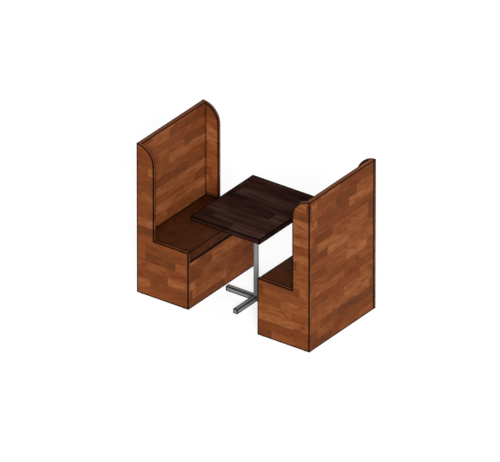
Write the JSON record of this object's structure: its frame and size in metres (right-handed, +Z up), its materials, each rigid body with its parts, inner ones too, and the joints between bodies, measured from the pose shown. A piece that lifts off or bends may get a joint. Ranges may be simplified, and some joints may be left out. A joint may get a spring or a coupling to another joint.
{
  "type": "restaurant booth seating",
  "caption": "High-backed wooden restaurant booth: facing benches with rounded wings and lift-out padded seats, and a pedestal table with a cross foot and levellers between them.",
  "frame": {"origin": "on the floor, in the middle of the set, under the table's column", "axes": "+X from the left bench to the right bench, +Y along the benches away from the viewer of the picture, +Z up"},
  "size_m": [1.524, 0.813, 1.219],
  "materials": {
    "stave_wood": "satin lacquered block-laminated hardwood, staves level",
    "planed_softwood": "planed, bare",
    "plywood": "sanded, bare",
    "beech_dowel": "fluted, bare",
    "dark_table_wood": "satin oiled dark planks",
    "seat_vinyl": "satin grained upholstery vinyl",
    "seat_foam": "open-cell foam",
    "grey_painted_steel": "satin powder coat",
    "zinc_steel": "bright zinc plated",
    "leveller_steel": "zinc plated",
    "cap_plastic": "fine matt",
    "glide_plastic": "matt"
  },
  "bodies": {
    "booth_frame": {"left_back_bottom_rail": "planed_softwood", "left_back_panel": "stave_wood", "left_back_top_lipping": "stave_wood", "left_backrest_panel": "stave_wood", "left_corner_blocks": "planed_softwood", "left_far_end_panel": "stave_wood", "left_floor_glides": "glide_plastic", "left_frame_screws": "zinc_steel", "left_front_panel": "stave_wood", "left_near_end_panel": "stave_wood", "left_panel_dowels": "beech_dowel", "left_seat_centre_bearer": "planed_softwood", "left_seat_front_rail": "planed_softwood", "left_seat_rear_cleat": "planed_softwood", "left_seat_side_cleats": "planed_softwood", "right_back_bottom_rail": "planed_softwood", "right_back_panel": "stave_wood", "right_back_top_lipping": "stave_wood", "right_backrest_panel": "stave_wood", "right_corner_blocks": "planed_softwood", "right_far_end_panel": "stave_wood", "right_floor_glides": "glide_plastic", "right_frame_screws": "zinc_steel", "right_front_panel": "stave_wood", "right_near_end_panel": "stave_wood", "right_panel_dowels": "beech_dowel", "right_seat_centre_bearer": "planed_softwood", "right_seat_front_rail": "planed_softwood", "right_seat_rear_cleat": "planed_softwood", "right_seat_side_cleats": "planed_softwood", "table_column": "grey_painted_steel", "table_far_foot": "grey_painted_steel", "table_foot_caps": "cap_plastic", "table_leveller_nuts": "zinc_steel", "table_long_foot": "grey_painted_steel", "table_near_foot": "grey_painted_steel", "table_plate_screws": "zinc_steel", "table_top": "dark_table_wood", "table_top_plate": "grey_painted_steel"},
    "left_seat": {"left_seat_board": "plywood", "left_seat_foam": "seat_foam", "left_seat_cover": "seat_vinyl", "left_cover_staples": "zinc_steel", "left_seat_battens": "planed_softwood", "left_batten_screws": "zinc_steel"},
    "right_seat": {"right_seat_board": "plywood", "right_seat_foam": "seat_foam", "right_seat_cover": "seat_vinyl", "right_cover_staples": "zinc_steel", "right_seat_battens": "planed_softwood", "right_batten_screws": "zinc_steel"},
    "leveller_left": {"table_leveller_left": "leveller_steel"},
    "leveller_right": {"table_leveller_right": "leveller_steel"},
    "leveller_near": {"table_leveller_near": "leveller_steel"},
    "leveller_far": {"table_leveller_far": "leveller_steel"}
  },
  "joints": [
    {"name": "left_seat_lift", "type": "slide", "parent": "booth_frame", "child": "left_seat", "axis": [0, 0, 1], "range_m": [0, 0.88]},
    {"name": "right_seat_lift", "type": "slide", "parent": "booth_frame", "child": "right_seat", "axis": [0, 0, 1], "range_m": [0, 0.88]},
    {"name": "leveller_left_screw", "type": "slide", "parent": "booth_frame", "child": "leveller_left", "axis": [0, 0, 1], "range_m": [-0.012, 0]},
    {"name": "leveller_right_screw", "type": "slide", "parent": "booth_frame", "child": "leveller_right", "axis": [0, 0, 1], "range_m": [-0.012, 0]},
    {"name": "leveller_near_screw", "type": "slide", "parent": "booth_frame", "child": "leveller_near", "axis": [0, 0, 1], "range_m": [-0.012, 0]},
    {"name": "leveller_far_screw", "type": "slide", "parent": "booth_frame", "child": "leveller_far", "axis": [0, 0, 1], "range_m": [-0.012, 0]}
  ]
}
